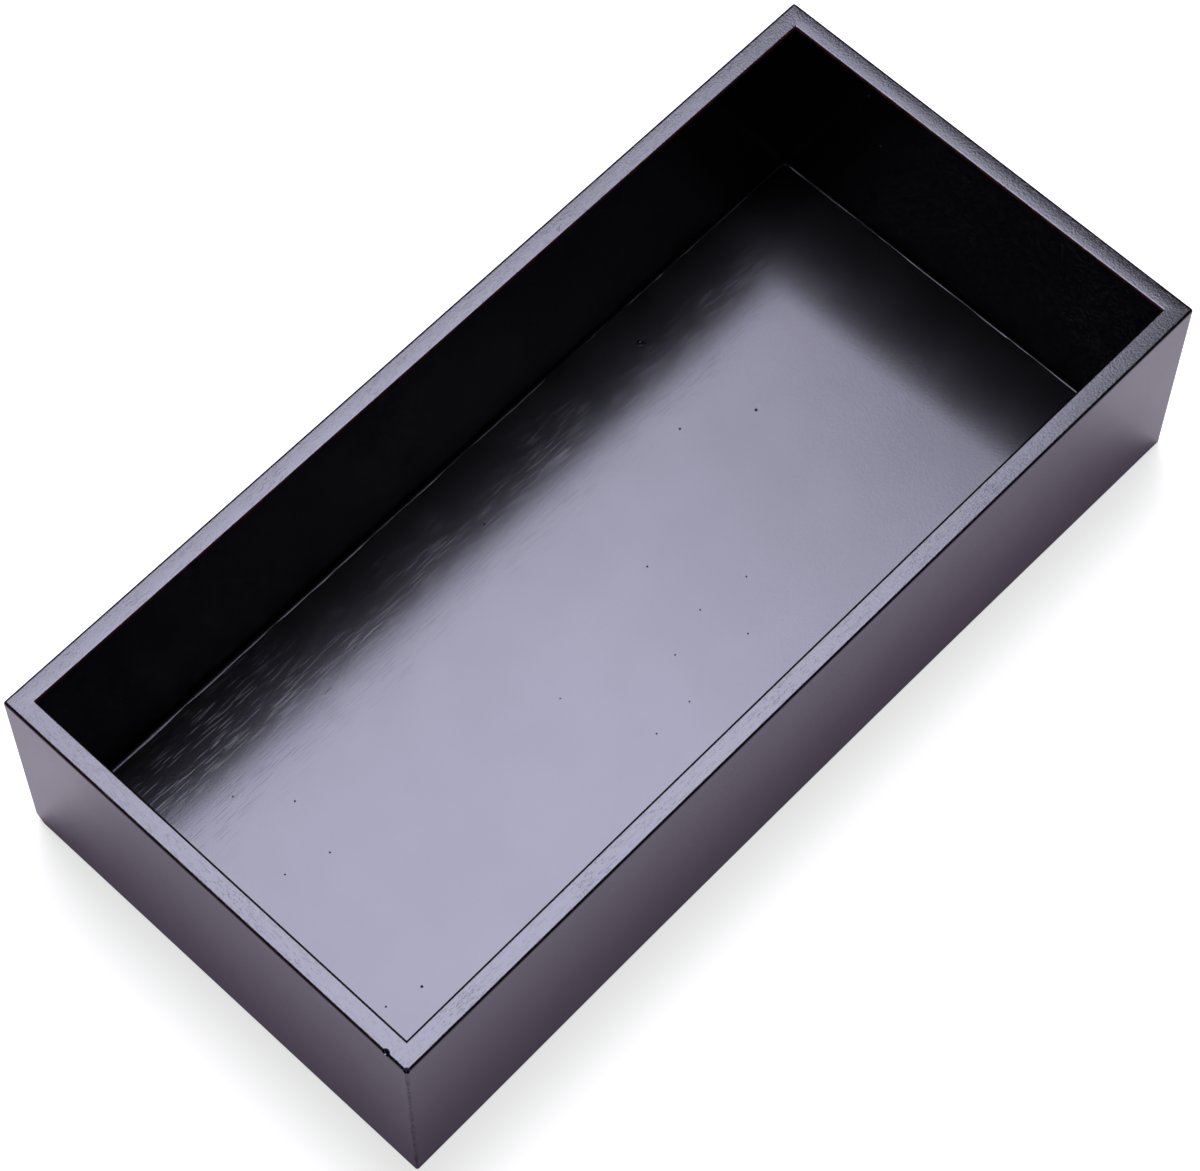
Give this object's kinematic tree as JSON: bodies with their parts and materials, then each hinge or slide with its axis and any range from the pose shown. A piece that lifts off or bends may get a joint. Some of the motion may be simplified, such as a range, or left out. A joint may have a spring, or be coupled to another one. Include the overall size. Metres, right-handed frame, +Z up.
{
  "type": "drawer organizer",
  "caption": "Open rectangular wooden tray for a drawer, lacquered black, with straight walls and a plywood bottom captured in grooves.",
  "frame": {"origin": "middle of the underside, in the plane that the feet of the walls stand on", "axes": "+X along the tray towards its right end wall, +Y across it towards its far long side, +Z up out of its open top"},
  "size_m": [0.31, 0.15, 0.075],
  "materials": {
    "lacquered_board": "semi-gloss black lacquer over open-pored wood",
    "lacquered_plywood": "glossier black lacquer over plywood, its grain showing through in faint streaks",
    "brad_steel": "bright drawn wire"
  },
  "bodies": {
    "root": {"long_side_near": "lacquered_board", "long_side_far": "lacquered_board", "end_wall_left": "lacquered_board", "end_wall_right": "lacquered_board", "bottom_panel": "lacquered_plywood", "brad_near_left_1": "brad_steel", "brad_near_left_2": "brad_steel", "brad_near_left_3": "brad_steel", "brad_near_right_1": "brad_steel", "brad_near_right_2": "brad_steel", "brad_near_right_3": "brad_steel", "brad_far_left_1": "brad_steel", "brad_far_left_2": "brad_steel", "brad_far_left_3": "brad_steel", "brad_far_right_1": "brad_steel", "brad_far_right_2": "brad_steel", "brad_far_right_3": "brad_steel"}
  },
  "joints": []
}
